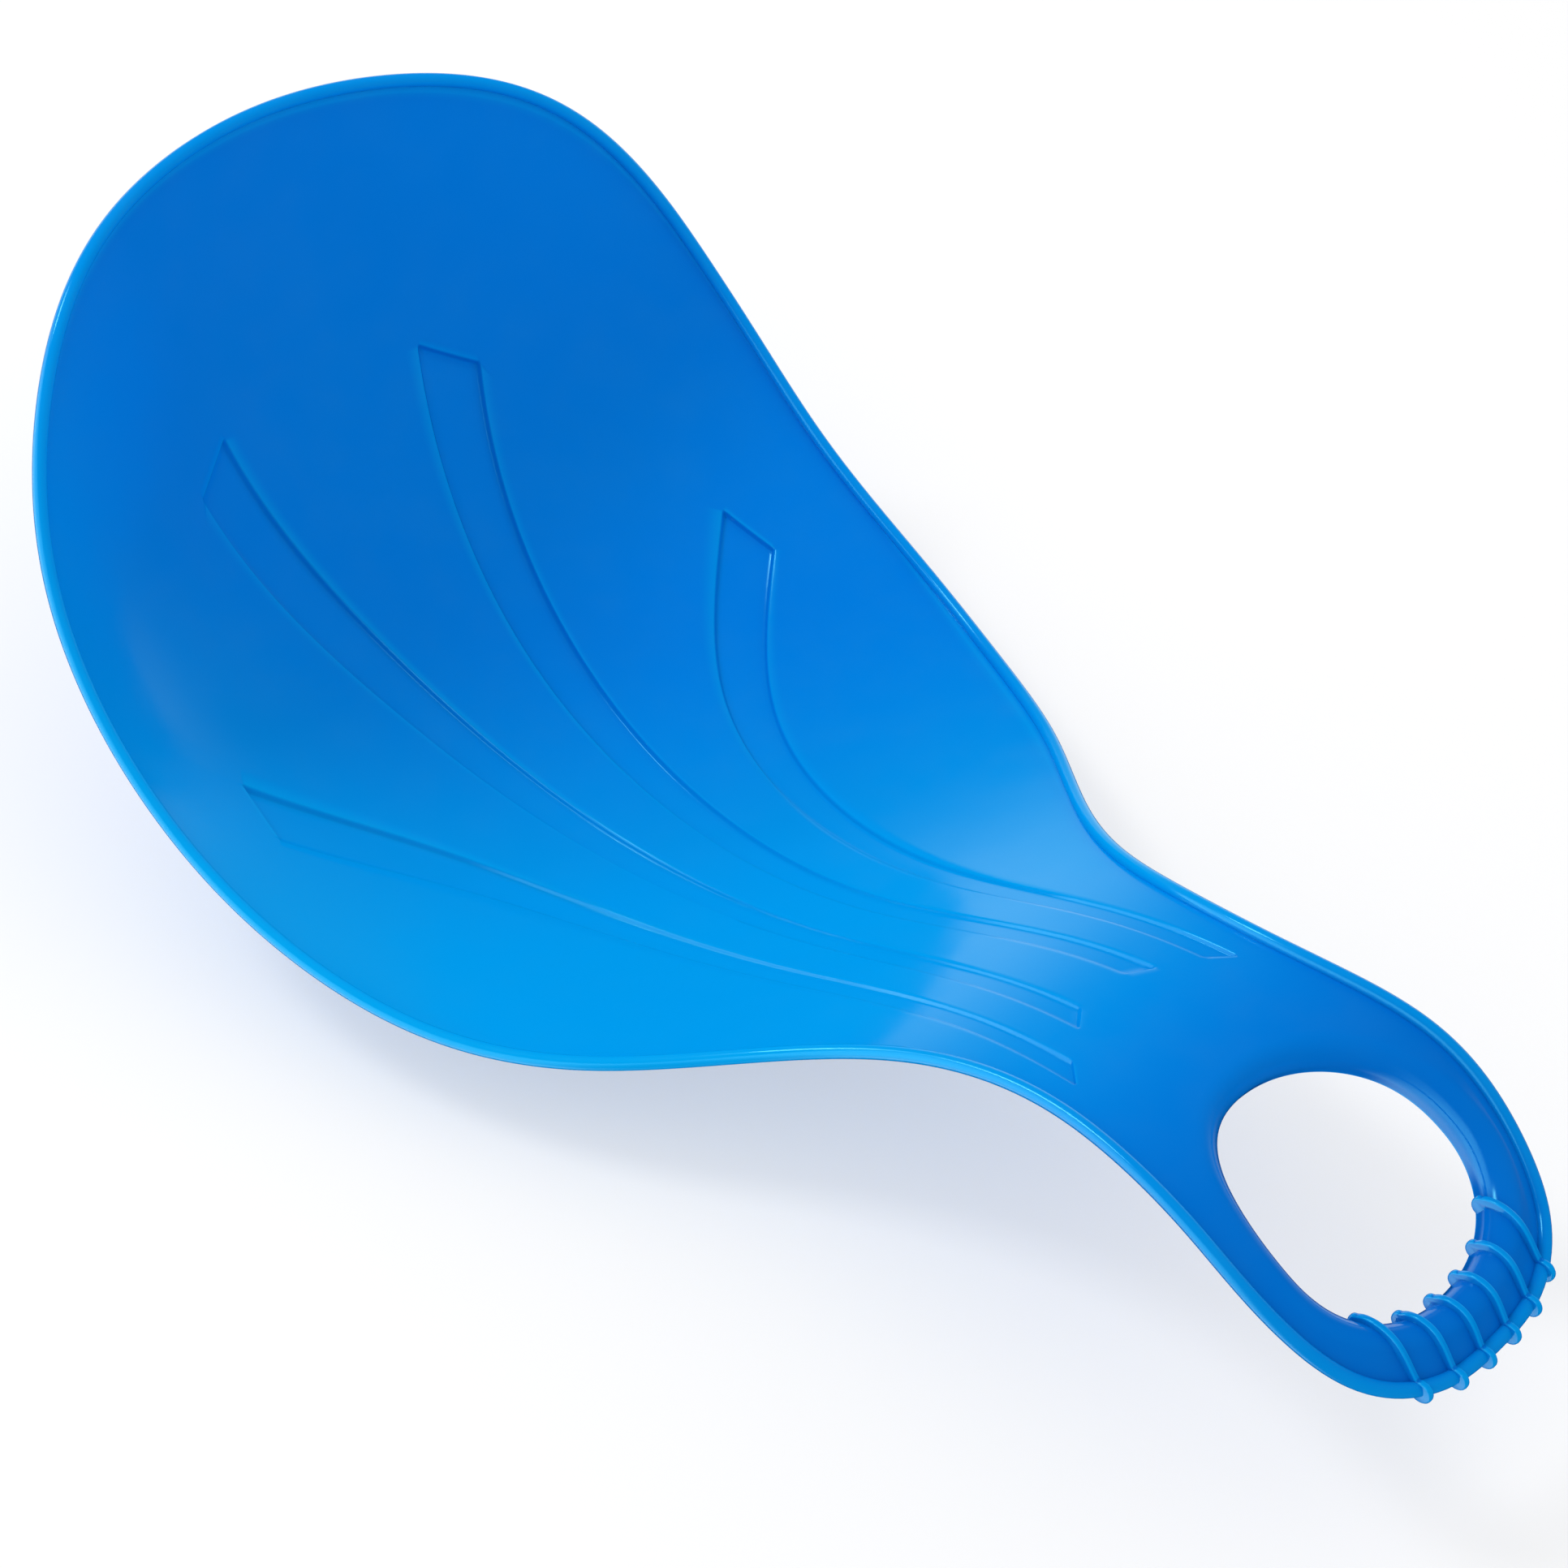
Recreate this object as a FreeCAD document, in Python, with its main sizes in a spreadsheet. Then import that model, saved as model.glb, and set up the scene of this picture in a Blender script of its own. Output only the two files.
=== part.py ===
"""Shovel sled: a dished seat with a raised back, a neck and a hand loop, moulded in one piece.

The moulding is drawn in the frame that it leaves its mould in, X towards the hand loop, Y to the
side and Z up, and each region is then turned and lifted to stand as the sled lies on level ground.
"""
import FreeCAD, Part
import math
import os
from FreeCAD import Placement, Rotation, Vector

DIMENSIONS = {
    "wall": 3.0,
    "bead_radius": 2.7,
    "bead_raise": 0.8,
    "edge_inset": 0.8,
    "channel_depth": 2.0,
    "seat_front": 152.0,
    "mid_line": 80.0,
    "wing_line": 160.0,
    "loop_centre": 231.6,
    "loop_neck_length": 68.0,
    "loop_grip_length": 57.2,
    "loop_width": 60.9,
    "loop_squareness": 2.64,
    "loop_taper": 0.103,
    "hole_neck_length": 48.5,
    "hole_grip_length": 36.7,
    "hole_width": 43.3,
    "hole_squareness": 2.2,
    "hole_taper": 0.0,
    "roll_radius": 7.5,
    "roll_rise_neck": -0.5,
    "roll_rise_grip": 6.0,
    "lip_drop": 10.8,
    "rib_thickness": 2.2,
    "rib_height": 2.6,
    "rib_pitch": 13.3,
    "rim_knob_radius": 4.7,
    "rim_knob_reach": 0.6,
    "hole_knob_radius": 2.7,
    "hole_knob_reach": 0.5,
    "rest_tilt": 19.9,
    "prism_height": 500.0,
}

# Heights above the seat's lowest point at stations along the length, on the centre line (keel), half
# way out (mid) and near the widest rim (wing). The neck and the hand loop are flat across.
STATIONS = (-320, -260, -200, -120, -30, 50, 110, 170, 205, 250, 290)
KEEL = (148, 51, 13, 0, 23, 83, 150.3, 190, 201.8, 200.2, 197.8)
MID = (172.6, 80.7, 25, 10.6, 33, 90.2, 150.3, 190, 201.8, 200.2, 197.8)
WING = (204, 137.3, 74.6, 43.1, 55.3, 95.4, 150.3, 190, 201.8, 200.2, 197.8)

# Half of the rim's plan, from the back round the side to the neck; the loop follows from its own sizes.
RIM_PLAN = ((-311, 0), (-282.8, 97.3), (-226.9, 148), (-124.3, 164.2), (-25.2, 151.1),
            (34.2, 121.5), (100.6, 63.4), (146.1, 53.8))
LOOP_ANGLES = (100, 75, 50, 25, 0)

# The two fan channels on one side of the seat, each as its inner and outer edge from front to back.
CHANNELS = {
    "inner": (((128.2, 11.4), (50, 9), (-48, 13.1), (-152.5, 26.4), (-241, 47.2)),
              ((133, 19.6), (57, 17), (-36.6, 25), (-138, 43.1), (-225.5, 67.4))),
    "outer": (((140.8, 33.9), (80, 32.3), (12, 39.5), (-64.5, 67.7), (-127.1, 121)),
              ((147.1, 41.2), (90, 39.5), (28, 46.3), (-43, 73), (-101.7, 124.7))),
}

# Sections along the wall, closer together where the back turns up, points across each, sections along
# the rim and round the loop, and the flats that stand in for the small round forms.
WALL_SECTIONS = 30
BACK_CROWDING = 1.46
SECTION_POINTS = 11
WALL_MARGIN = 12.0
WALL_FRONT = 240.0
SLOPE_STEP = 0.5
SEAT_RIM_STEPS = 40
LOOP_RIM_STEPS = 22
BEAD_SIDES = 8
LOOP_SECTIONS = 24
ROLL_FLATS = 4
HOLLOW_FLATS = 2
KNOB_SIDES = 10
RIM_OVERLAP = 3.0

RIB_COUNT = 6
RIB_STEPS = 9
RIB_WEB_SHARE = 0.4
RIB_SINK = 1.0

doc = FreeCAD.newDocument("ShovelSled")
sheet = doc.addObject("Spreadsheet::Sheet", "Dimensions")


def fill_sheet():
    """Write each driving dimension to a row of the sheet, with its name as the alias."""
    for row, (name, value) in enumerate(DIMENSIONS.items(), start=1):
        sheet.set(f"A{row}", name)
        sheet.set(f"B{row}", str(value))
        sheet.setAlias(f"B{row}", name)
    doc.recompute()


def size(name):
    """Read one driving dimension from the sheet."""
    return float(sheet.get(name))


def bind(obj, **sizes):
    """Bind properties of an object to cells of the sheet."""
    for prop, expression in sizes.items():
        obj.setExpression(prop, expression)


def line_along(heights):
    """A smooth line through the stations, whose parameter is the distance along X."""
    curve = Part.BSplineCurve()
    points = [Vector(x, 0, z) for x, z in zip(STATIONS, heights)]
    curve.interpolate(Points=points, Parameters=[float(x) for x in STATIONS])
    return curve


LINES = [line_along(heights) for heights in (KEEL, MID, WING)]


def height(x, y):
    """Height of the moulding's upper face, an even curve across through the keel, mid and wing lines."""
    keel, mid, wing = (line.value(x).z for line in LINES)
    across, near, far = y * y, size("mid_line") ** 2, size("wing_line") ** 2
    return (keel * (across - near) * (across - far) / (near * far)
            + mid * across * (across - far) / (near * (near - far))
            + wing * across * (across - near) / (far * (far - near)))


def upright(x, y):
    """A direction square to the upper face, one unit high, so that its length is the face's slant."""
    slope_x = (height(x + SLOPE_STEP, y) - height(x - SLOPE_STEP, y)) / (2 * SLOPE_STEP)
    slope_y = (height(x, y + SLOPE_STEP) - height(x, y - SLOPE_STEP)) / (2 * SLOPE_STEP)
    return Vector(-slope_x, -slope_y, 1)


def surface_point(x, y, depth=0.0):
    """A point of the upper face, or straight below it on the layer that lies a depth under the face."""
    return Vector(x, y, height(x, y) - depth * upright(x, y).Length)


def spread(low, high, count):
    """Evenly spaced values from low to high."""
    return [low + (high - low) * i / (count - 1) for i in range(count)]


def slab_section(x, top, bottom):
    """Closed section of a layer of the moulding across the sled, between two depths and past the rim."""
    reach = size("wing_line") + WALL_MARGIN
    rows = [[surface_point(x, y, depth) for y in spread(-reach, reach, SECTION_POINTS)]
            for depth in (top, bottom)]
    ends = [Part.makeLine(rows[0][i], rows[1][i]) for i in (0, -1)]
    return Part.Wire(Part.__sortEdges__([open_curve(row) for row in rows] + ends))


def dished_slab(name, top, bottom):
    """A solid layer of the moulding between two depths, from behind the back to inside the loop."""
    start = STATIONS[0] + 1
    stations = [start + (WALL_FRONT - start) * share ** BACK_CROWDING
                for share in spread(0.0, 1.0, WALL_SECTIONS)]
    slab = doc.addObject("Part::Loft", name)
    slab.Sections = [feature(f"{name}_section_{i}", slab_section(x, top, bottom))
                     for i, x in enumerate(stations, start=1)]
    slab.Solid = True
    slab.Ruled = True
    return slab


def feature(name, shape):
    """Put a shape made from curves into the document."""
    obj = doc.addObject("Part::Feature", name)
    obj.Shape = shape
    return obj


def prism(name, wire):
    """Stand a plan outline up as a tall prism."""
    plan = feature(name + "_plan", wire)
    solid = doc.addObject("Part::Extrusion", name)
    solid.Base = plan
    solid.DirMode = "Custom"
    solid.Dir = Vector(0, 0, 1)
    solid.Solid = True
    bind(solid, LengthFwd="Dimensions.prism_height", LengthRev="Dimensions.prism_height")
    return solid


def plan_box(name, start, length):
    """A tall box right across the sled, from a station along it and of a given length."""
    box = doc.addObject("Part::Box", name)
    bind(box, Length=length, Width="Dimensions.prism_height", Height="Dimensions.prism_height")
    half = size("prism_height") / 2
    box.Placement.Base = Vector(start, -half, -half)
    return box


def combine(kind, name, *parts):
    """Join parts with a boolean: Cut and Common take two, MultiFuse any number."""
    result = doc.addObject("Part::" + kind, name)
    if kind == "MultiFuse":
        result.Shapes = list(parts)
    else:
        result.Base, result.Tool = parts
    return result


def egg_radius(form, angle):
    """Distance from the loop's centre to its rim or to the hole's edge, along an angle from the loop's end."""
    power = size(form + "_squareness")
    length = size(form + ("_grip_length" if math.cos(angle) > 0 else "_neck_length"))
    width = size(form + "_width") * (1 - size(form + "_taper") * math.cos(angle))
    return (abs(math.cos(angle) / length) ** power + abs(math.sin(angle) / width) ** power) ** (-1 / power)


def loop_plan(angle, radius):
    """Plan point of the loop at an angle and a distance from its centre."""
    return size("loop_centre") + radius * math.cos(angle), radius * math.sin(angle)


def rim_plan():
    """Plan points of the whole rim: from the right of the neck round the seat, then round the loop."""
    right = [Vector(x, -y, 0) for x, y in reversed(RIM_PLAN[1:])]
    left = [Vector(x, y, 0) for x, y in RIM_PLAN]
    angles = [math.radians(a) for a in LOOP_ANGLES + tuple(-a for a in reversed(LOOP_ANGLES[:-1]))]
    return right + left + [Vector(*loop_plan(a, egg_radius("loop", a)), 0) for a in angles]


def closed_curve(points):
    """A smooth closed curve through points."""
    curve = Part.BSplineCurve()
    curve.interpolate(Points=points, PeriodicFlag=True)
    return curve


def wall_outline(plan):
    """Plan outline of the wall's own edge, a little inside the line that the bead is centred on."""
    up = Vector(0, 0, 1)
    knots = plan.getKnots()[:-1]
    return closed_curve([plan.value(k) + plan.tangent(k)[0].cross(up) * size("edge_inset") for k in knots])


def open_curve(points):
    """A smooth edge through points."""
    curve = Part.BSplineCurve()
    curve.interpolate(points)
    return curve.toShape()


def as_wire(curve):
    """A closed curve as a wire."""
    return Part.Wire([curve.toShape()])


def loop_wire():
    """Plan outline of the hand loop, where it meets the rim and the neck, as a left and a right half."""
    angles = [2 * math.pi * i / LOOP_SECTIONS for i in range(LOOP_SECTIONS)]
    outline = closed_curve([Vector(*loop_plan(a, egg_radius("loop", a)), 0) for a in angles])
    ends = outline.FirstParameter, outline.getKnots()[LOOP_SECTIONS // 2], outline.LastParameter
    return Part.Wire([outline.toShape(*ends[:2]), outline.toShape(*ends[1:])])


def channel_wire(edges, side):
    """Plan outline of one fan channel: two curved edges and two straight ends."""
    inner, outer = ([Vector(x, side * y, 0) for x, y in edge] for edge in edges)
    ends = [Part.makeLine(inner[0], outer[0]), Part.makeLine(inner[-1], outer[-1])]
    return Part.Wire(Part.__sortEdges__([open_curve(inner), open_curve(outer)] + ends))


def bead_run(name, path, knots):
    """One run of the rim bead: eight-sided sections square to the rim, joined from one to the next."""
    sections = []
    for number, knot in enumerate(knots, start=1):
        spot, way = path.value(knot), path.tangent(knot)[0]
        side = way.cross(Vector(0, 0, 1)).normalize()
        section = doc.addObject("Part::RegularPolygon", f"{name}_section_{number}")
        section.Polygon = BEAD_SIDES
        bind(section, Circumradius="Dimensions.bead_radius")
        section.Placement = Placement(spot, Rotation(side, way.cross(side), way, "ZXY"))
        sections.append(section)
    bead = doc.addObject("Part::Loft", name + "_loft")
    bead.Sections = sections
    bead.Solid = True
    bead.Ruled = True
    return bead


def rim_beads(plan, seat_end):
    """The bead round the seat and the bead round the handle, centred a little above the edge of the wall."""
    turns = [(plan.FirstParameter, seat_end, SEAT_RIM_STEPS), (seat_end, plan.LastParameter, LOOP_RIM_STEPS)]
    plan_spots = [plan.value(a + (b - a) * i / count) for a, b, count in turns for i in range(count)]
    path = closed_curve([surface_point(spot.x, spot.y)
                         + upright(spot.x, spot.y).normalize() * size("bead_raise") for spot in plan_spots])
    knots = path.getKnots()
    return (bead_run("seat_rim", path, knots[:SEAT_RIM_STEPS + 1]),
            bead_run("loop_rim", path, knots[SEAT_RIM_STEPS:]))


def roll_rise(angle):
    """How far the roll round the hole stands above the flat loop: low at the neck, high at the grip."""
    share = (1 + math.cos(angle)) / 2
    return size("roll_rise_neck") + (size("roll_rise_grip") - size("roll_rise_neck")) * share


def loop_profile(angle):
    """The loop's section at an angle: rim point, roll centre, angle where web meets roll, and lip height."""
    radius = size("roll_radius")
    crest = egg_radius("hole", angle) + radius
    rim = egg_radius("loop", angle)
    top = height(*loop_plan(angle, crest)) + roll_rise(angle)
    centre = (crest, top - radius)
    start = (rim, height(*loop_plan(angle, rim)))
    away, up = start[0] - centre[0], start[1] - centre[1]
    turn = math.atan2(up, away) + math.acos(radius / math.hypot(away, up))
    return start, centre, turn, top - size("lip_drop")


def loop_section(angle):
    """Closed section of the loop: sloped web, roll over the crest and wall down to the hole's lip."""
    wall, radius, hole = size("wall"), size("roll_radius"), egg_radius("hole", angle)
    start, centre, turn, lip = loop_profile(angle)
    outer = (start[0] + RIM_OVERLAP * math.sin(turn), start[1] - RIM_OVERLAP * math.cos(turn))
    below = (outer[0] - wall * math.cos(turn), outer[1] - wall * math.sin(turn))

    def over_roll(ring, flats):
        return [(centre[0] + ring * math.cos(lean), centre[1] + ring * math.sin(lean))
                for lean in spread(turn, math.pi, flats + 1)]

    outside = [outer] + over_roll(radius, ROLL_FLATS) + [(hole, lip)]
    inside = [below] + over_roll(radius - wall, HOLLOW_FLATS) + [(hole + wall, lip)]
    corners = [Vector(*loop_plan(angle, r), z) for r, z in outside + inside[::-1]]
    return Part.makePolygon(corners + corners[:1])


def loop_loft():
    """The loop's sections lofted right round the hole."""
    angles = [2 * math.pi * i / LOOP_SECTIONS for i in range(LOOP_SECTIONS)]
    loft = doc.addObject("Part::Loft", "loop_loft")
    loft.Sections = [feature(f"loop_section_{i}", loop_section(a)) for i, a in enumerate(angles, start=1)]
    loft.Solid = True
    loft.Closed = True
    return loft


def rib_line(side_offset, lift):
    """Points of a rib's edge in a plane along the sled, from the rim over the roll, raised by a lift."""
    centre_x = size("loop_centre")
    angle = math.asin(side_offset / size("loop_grip_length"))
    points = []
    for step in spread(0.0, 1.0, RIB_STEPS):
        for _ in range(3):
            start, centre, turn, _lip = loop_profile(angle)
            if step <= RIB_WEB_SHARE:
                share = step / RIB_WEB_SHARE
                foot = [c + size("roll_radius") * f(turn) for c, f in zip(centre, (math.cos, math.sin))]
                spot = [a + (b - a) * share for a, b in zip(start, foot)]
                lean = turn
            else:
                lean = turn + (math.pi - turn) * (step - RIB_WEB_SHARE) / (1 - RIB_WEB_SHARE)
                spot = [c + size("roll_radius") * f(lean) for c, f in zip(centre, (math.cos, math.sin))]
            angle = math.asin(side_offset / spot[0])
        radius = spot[0] + lift * math.cos(lean)
        along = math.sqrt(radius * radius - side_offset * side_offset)
        points.append(Vector(centre_x + along, side_offset, spot[1] + lift * math.sin(lean)))
    return points


def knob(name, centre, radius_cell):
    """A round knob at one end of a rib, as a short many-sided bar across the sled."""
    bar = doc.addObject("Part::Prism", name)
    bar.Polygon = KNOB_SIDES
    bind(bar, Circumradius="Dimensions." + radius_cell, Height="Dimensions.rib_thickness")
    half = Vector(0, size("rib_thickness") / 2, 0)
    bar.Placement = Placement(centre + half, Rotation(Vector(1, 0, 0), 90))
    return bar


def grip_rib(number, side_offset, carriers):
    """One grip rib: a thin fin over the roll with a knob at the rim and one inside the hole."""
    name = f"grip_rib_{number}"
    top, foot = rib_line(side_offset, size("rib_height")), rib_line(side_offset, -RIB_SINK)
    profile = feature(name + "_profile", Part.makePolygon(top + foot[::-1] + top[:1]))
    fin = doc.addObject("Part::Extrusion", name + "_fin")
    fin.Base = profile
    fin.DirMode = "Custom"
    fin.Dir = Vector(0, 1, 0)
    fin.Solid = True
    fin.Symmetric = True
    bind(fin, LengthFwd="Dimensions.rib_thickness")
    surface = rib_line(side_offset, 0.0)
    rim_spot = surface[0] + Vector(size("rim_knob_reach"), 0, size("bead_raise"))
    rim_knob = knob(name + "_rim_knob", rim_spot, "rim_knob_radius")
    hole_spot = surface[-1] - Vector(size("hole_knob_reach"), 0, 0)
    hole_knob = knob(name + "_hole_knob", hole_spot, "hole_knob_radius")
    solid = combine("MultiFuse", name + "_blank", fin, rim_knob, hole_knob)
    for carrier in carriers:
        solid = combine("Cut", f"{name}_on_{carrier.Name}", solid, carrier)
    return solid


def seat_pan(blank):
    """The seat with its fan channels pressed down: sunk above, standing out as runners below."""
    strips = []
    for label, edges in CHANNELS.items():
        for side, hand in ((1, "left"), (-1, "right")):
            strips.append(prism(f"{label}_{hand}_channel", channel_wire(edges, side)))
    fan = combine("MultiFuse", "channel_fan", *strips)
    depth, wall = size("channel_depth"), size("wall")
    grooves = combine("Common", "channel_grooves", dished_slab("groove_slab", -depth, depth), fan)
    runners = combine("Common", "channel_runners", dished_slab("runner_slab", wall / 2, wall + depth), fan)
    return combine("MultiFuse", "seat_moulding", combine("Cut", "grooved_seat", blank, grooves), runners)


def rest_placement(shapes):
    """Turn the moulding to how it lies on the ground, with the origin under the middle of its box."""
    turned = Part.makeCompound(shapes)
    turn = Rotation(Vector(0, 1, 0), size("rest_tilt"))
    turned.Placement = Placement(Vector(), turn)
    box = turned.optimalBoundingBox()
    return Placement(Vector(-box.Center.x, -box.Center.y, -box.ZMin), turn)


def build_regions():
    """Build every region of the moulding in its mould frame."""
    points = rim_plan()
    plan = closed_curve(points)
    seat_end = plan.getKnots()[len(points) - 2 * len(LOOP_ANGLES)]
    seat_bead, loop_bead = rim_beads(plan, seat_end)
    trimmed = combine("Common", "trimmed_wall", dished_slab("wall_slab", 0.0, size("wall")),
                      prism("rim_prism", as_wire(wall_outline(plan))))
    beads = combine("MultiFuse", "whole_bead", seat_bead, loop_bead)
    wall = combine("Cut", "edged_wall", trimmed, beads)
    seat_front, reach = size("seat_front"), size("prism_height")
    seat_box = plan_box("seat_side", seat_front - reach, "Dimensions.prism_height")
    neck_box = plan_box("neck_side", seat_front, "Dimensions.loop_centre - Dimensions.seat_front")
    loop_prism = prism("loop_prism", loop_wire())
    neck = combine("Cut", "neck_moulding", combine("Common", "neck_blank", wall, neck_box), loop_prism)
    loop = combine("Cut", "loop_moulding", combine("Common", "loop_ring", loop_loft(), loop_prism), beads)
    regions = {"seat_pan": seat_pan(combine("Common", "seat_blank", wall, seat_box)),
               "handle_neck": neck, "hand_loop": loop,
               "seat_rim_bead": seat_bead, "loop_rim_bead": loop_bead}
    for number in range(1, RIB_COUNT + 1):
        offset = size("rib_pitch") * (number - (RIB_COUNT + 1) / 2)
        regions[f"grip_rib_{number}"] = grip_rib(number, offset, (loop, loop_bead))
    return regions


def check_document(regions):
    """Stop if any object failed or any region is not one valid solid."""
    for obj in doc.Objects:
        if "Invalid" in obj.State or "Error" in obj.State:
            raise RuntimeError(f"{obj.Name} failed: {obj.State}")
    for label, obj in regions.items():
        shape = obj.Shape
        if shape.isNull() or not shape.isValid() or len(shape.Solids) != 1:
            raise RuntimeError(f"{label}: {len(shape.Solids)} solids, valid {shape.isValid()}")


def main():
    """Build the document, set the sled down and write each region's solid."""
    fill_sheet()
    regions = build_regions()
    doc.recompute()
    check_document(regions)
    rest = rest_placement([obj.Shape for obj in regions.values()])
    print("set down by", rest.Base)
    for label, obj in regions.items():
        obj.Label = label
        obj.Placement = rest
    os.makedirs("parts", exist_ok=True)
    for label, obj in regions.items():
        obj.Shape.exportStep(f"parts/{label}.step")
        print(label, round(obj.Shape.Volume), "mm3")


main()
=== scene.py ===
"""Shovel sled in glossy blue moulded plastic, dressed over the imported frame.

The sled is one moulding. Its sheet is laid out in the frame that it is moulded in, in millimetres, with
X towards the hand loop, Y to the side and Z up, and is then turned to lie on the ground as the frame does.
"""

import logging
import math
from dataclasses import dataclass, field
from enum import Enum

import bpy
import numpy as np
from mathutils import Matrix, Vector


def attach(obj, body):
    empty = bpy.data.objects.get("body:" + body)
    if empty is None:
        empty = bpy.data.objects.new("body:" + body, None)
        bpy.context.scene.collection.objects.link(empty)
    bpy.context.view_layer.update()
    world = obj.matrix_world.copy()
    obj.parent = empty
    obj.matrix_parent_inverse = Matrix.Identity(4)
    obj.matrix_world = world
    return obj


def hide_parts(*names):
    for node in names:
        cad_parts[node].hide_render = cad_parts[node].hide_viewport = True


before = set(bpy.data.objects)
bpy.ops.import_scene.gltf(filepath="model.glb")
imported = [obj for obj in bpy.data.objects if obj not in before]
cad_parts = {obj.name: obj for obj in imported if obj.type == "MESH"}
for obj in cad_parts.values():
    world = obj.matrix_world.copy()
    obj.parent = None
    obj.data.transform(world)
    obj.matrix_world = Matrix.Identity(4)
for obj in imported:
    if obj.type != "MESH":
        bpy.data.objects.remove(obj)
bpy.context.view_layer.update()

MM = 0.001
BODY = "root"
PRESS = "press"
MERGE_REACH = 2e-5

log = logging.getLogger("sled")

Array = np.ndarray
Piece = bpy.types.Object
Socket = bpy.types.NodeSocket


class Ends(Enum):
    """How a smooth line ends."""

    OPEN = "open"
    CLOSED = "closed"


class Finishing(Enum):
    """Modifiers that finish a piece."""

    WALL = "SOLIDIFY"
    ROUNDING = "BEVEL"


class Change(Enum):
    """How a level goes from one value to another."""

    EVEN = "LINEAR"
    SMOOTH = "SMOOTHSTEP"


class Sum(Enum):
    """How two levels are put together."""

    TIMES = "MULTIPLY"
    PLUS = "ADD"


class Axis(Enum):
    """Parts of a place or a direction in the frame."""

    LENGTH = "X"
    SIDE = "Y"
    UP = "Z"


class SmoothLine:
    """A line through points that bends evenly, as a batten bent through pins does."""

    NEAR_SHARE = 1e-5

    def __init__(self, points: list, ends: Ends = Ends.OPEN, marks: list | None = None) -> None:
        """Fit the line.

        Args:
            points: The points that the line passes through, of any one dimension.
            ends: Whether the line closes on itself.
            marks: The line's measure at each point; the chord lengths where it is left out.
        """
        pins = np.array(points, float)
        if ends is Ends.CLOSED:
            pins = np.vstack([pins, pins[:1]])
        if marks is None:
            chords = np.linalg.norm(np.diff(pins, axis=0), axis=1)
            marks = np.concatenate([[0.0], np.cumsum(chords)])
        self.ends = ends
        self.pins = pins
        self.marks = np.array(marks, float)
        self.slopes = self._fit()

    def _fit(self) -> Array:
        """Find the slope at each pin that leaves no jump in bend.

        Returns:
            One slope per pin.
        """
        steps = np.diff(self.marks)
        rises = np.diff(self.pins, axis=0) / steps[:, None]
        count = len(self.pins)
        terms = np.zeros((count, count))
        sides = np.zeros_like(self.pins)
        for i in range(1, count - 1):
            terms[i, i - 1:i + 2] = steps[i], 2 * (steps[i - 1] + steps[i]), steps[i - 1]
            sides[i] = 3 * (steps[i] * rises[i - 1] + steps[i - 1] * rises[i])
        if self.ends is Ends.CLOSED:
            terms[0, 0] = 2 * (steps[-1] + steps[0])
            terms[0, 1] = steps[-1]
            terms[0, -2] = steps[0]
            sides[0] = 3 * (steps[0] * rises[-1] + steps[-1] * rises[0])
            terms[-1, 0], terms[-1, -1] = -1.0, 1.0
        else:
            for row, near in ((0, slice(0, 4)), (-1, slice(-4, None))):
                cubic = np.polyfit(self.marks[near] - self.marks[row], self.pins[near], 3)
                terms[row, row] = 1.0
                sides[row] = cubic[2]
        return np.linalg.solve(terms, sides)

    def at(self, marks: Array | list | float) -> Array:
        """Read the line.

        Args:
            marks: Measures along the line; a closed line takes them past its end.

        Returns:
            One point per mark.
        """
        where = np.atleast_1d(np.asarray(marks, float))
        if self.ends is Ends.CLOSED:
            where = np.mod(where, self.marks[-1])
        i = np.clip(np.searchsorted(self.marks, where, side="right") - 1, 0, len(self.marks) - 2)
        step = (self.marks[i + 1] - self.marks[i])[:, None]
        share = (where - self.marks[i])[:, None] / step
        rest = 1 - share
        near, far = self.pins[i], self.pins[i + 1]
        lead, trail = self.slopes[i] * step, self.slopes[i + 1] * step
        return (near * (1 + 2 * share) * rest ** 2 + lead * share * rest ** 2
                + far * share * share * (3 - 2 * share) + trail * share * share * (share - 1))

    def heading(self, marks: Array) -> Array:
        """Unit directions along the line.

        Args:
            marks: Measures along the line.

        Returns:
            One unit vector per mark.
        """
        reach = self.marks[-1] * self.NEAR_SHARE
        ways = self.at(np.asarray(marks) + reach) - self.at(np.asarray(marks) - reach)
        return ways / np.linalg.norm(ways, axis=1)[:, None]


def ease(share: Array | float) -> Array | float:
    """Ease from 0 to 1 with level ends, over a share from 0 to 1."""
    held = np.clip(share, 0.0, 1.0)
    return held * held * (3 - 2 * held)


@dataclass(frozen=True)
class Egg:
    """A rounded plan form about the loop's centre, with its own length to the neck and to the grip."""

    neck_length: float
    grip_length: float
    width: float
    squareness: float
    taper: float

    def radius(self, angles: Array) -> Array:
        """Distance from the centre to the edge.

        Args:
            angles: Angles from the loop's end.

        Returns:
            One distance per angle.
        """
        length = np.where(np.cos(angles) > 0, self.grip_length, self.neck_length)
        width = self.width * (1 - self.taper * np.cos(angles))
        along = np.abs(np.cos(angles) / length) ** self.squareness
        return (along + np.abs(np.sin(angles) / width) ** self.squareness) ** (-1 / self.squareness)


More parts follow.
